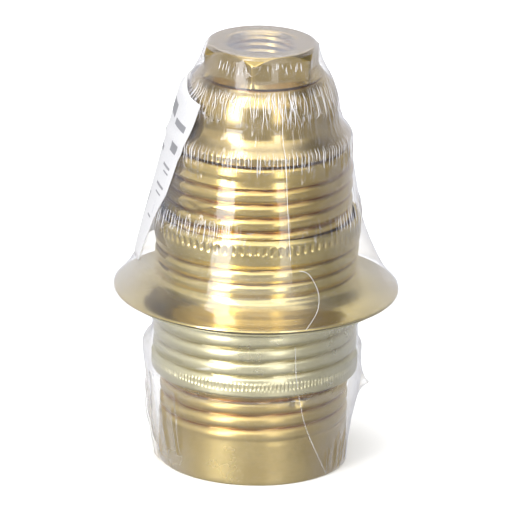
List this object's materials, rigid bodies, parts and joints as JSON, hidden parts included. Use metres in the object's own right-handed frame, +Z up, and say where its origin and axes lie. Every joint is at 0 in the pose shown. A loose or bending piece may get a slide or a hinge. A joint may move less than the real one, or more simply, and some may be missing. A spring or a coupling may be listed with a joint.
{
  "type": "lampholder",
  "caption": "Threaded brass lampholder with a hexagonal cable entry, drawn cap, threaded barrel and shade rings, in clear shrink wrap with a blank paper label.",
  "frame": {"origin": "on the lamp axis, in the plane of the barrel's mouth, which the part stands on", "axes": "+Z up the lamp axis from the mouth to the cable entry, +X to the live terminal's side, -Y to the front"},
  "size_m": [0.0436, 0.0436, 0.0653],
  "materials": {
    "brass": "drawn, bright, under film",
    "pale_brass": "drawn, pale under cloudy film",
    "contact_brass": "stamped, satin",
    "screw_steel": "zinc plated",
    "ceramic": "half-glazed white electrical porcelain",
    "fibre": "pressed white fibre",
    "film": "clear shrink film, wrinkled",
    "paper": "matt white coated paper"
  },
  "bodies": {
    "barrel": {"barrel": "brass", "ceramic_insert": "ceramic", "insulating_liner": "fibre", "screw_shell": "contact_brass", "contact_rivet": "contact_brass", "shell_rivet_neutral": "contact_brass", "shell_rivet_plain": "contact_brass", "terminal_live": "contact_brass", "terminal_neutral": "contact_brass", "wrap_sleeve": "film"},
    "cap": {"cap": "brass", "entry_bush": "brass", "earth_block": "contact_brass", "wrap_hat": "film", "label": "paper"},
    "upper_ring": {"upper_shade_ring": "brass"},
    "lower_ring": {"lower_shade_ring": "pale_brass"},
    "contact_leaf": {"contact_leaf": "contact_brass"},
    "screw_live": {"terminal_screw_live": "screw_steel"},
    "screw_neutral": {"terminal_screw_neutral": "screw_steel"},
    "screw_earth": {"earth_screw": "screw_steel"}
  },
  "joints": [
    {"name": "cap_unscrew", "type": "slide", "parent": "barrel", "child": "cap", "axis": [0, 0, 1], "range_m": [0, 0.006]},
    {"name": "upper_ring_travel", "type": "slide", "parent": "barrel", "child": "upper_ring", "axis": [0, 0, 1], "range_m": [0, 0.0082], "deforming": ["wrap_hat", "label"]},
    {"name": "lower_ring_travel", "type": "slide", "parent": "barrel", "child": "lower_ring", "axis": [0, 0, 1], "range_m": [-0.007, 0], "deforming": ["wrap_sleeve"]},
    {"name": "contact_flex", "type": "hinge", "parent": "barrel", "child": "contact_leaf", "pos_m": [0.0044, 0, 0.0245], "axis": [0, 1, 0], "range_deg": [0, 9], "stiffness_Nm_per_rad": 0.01},
    {"name": "screw_live_turn", "type": "hinge", "parent": "barrel", "child": "screw_live", "pos_m": [0.0066, 0, 0.0328], "axis": [0, 0, 1], "range_deg": [0, 810]},
    {"name": "screw_neutral_turn", "type": "hinge", "parent": "barrel", "child": "screw_neutral", "pos_m": [-0.0066, 0, 0.0328], "axis": [0, 0, 1], "range_deg": [0, 810]},
    {"name": "screw_earth_turn", "type": "hinge", "parent": "cap", "child": "screw_earth", "pos_m": [-0.00745, 0, 0.0568], "axis": [0, 0, -1], "range_deg": [0, 810]}
  ]
}
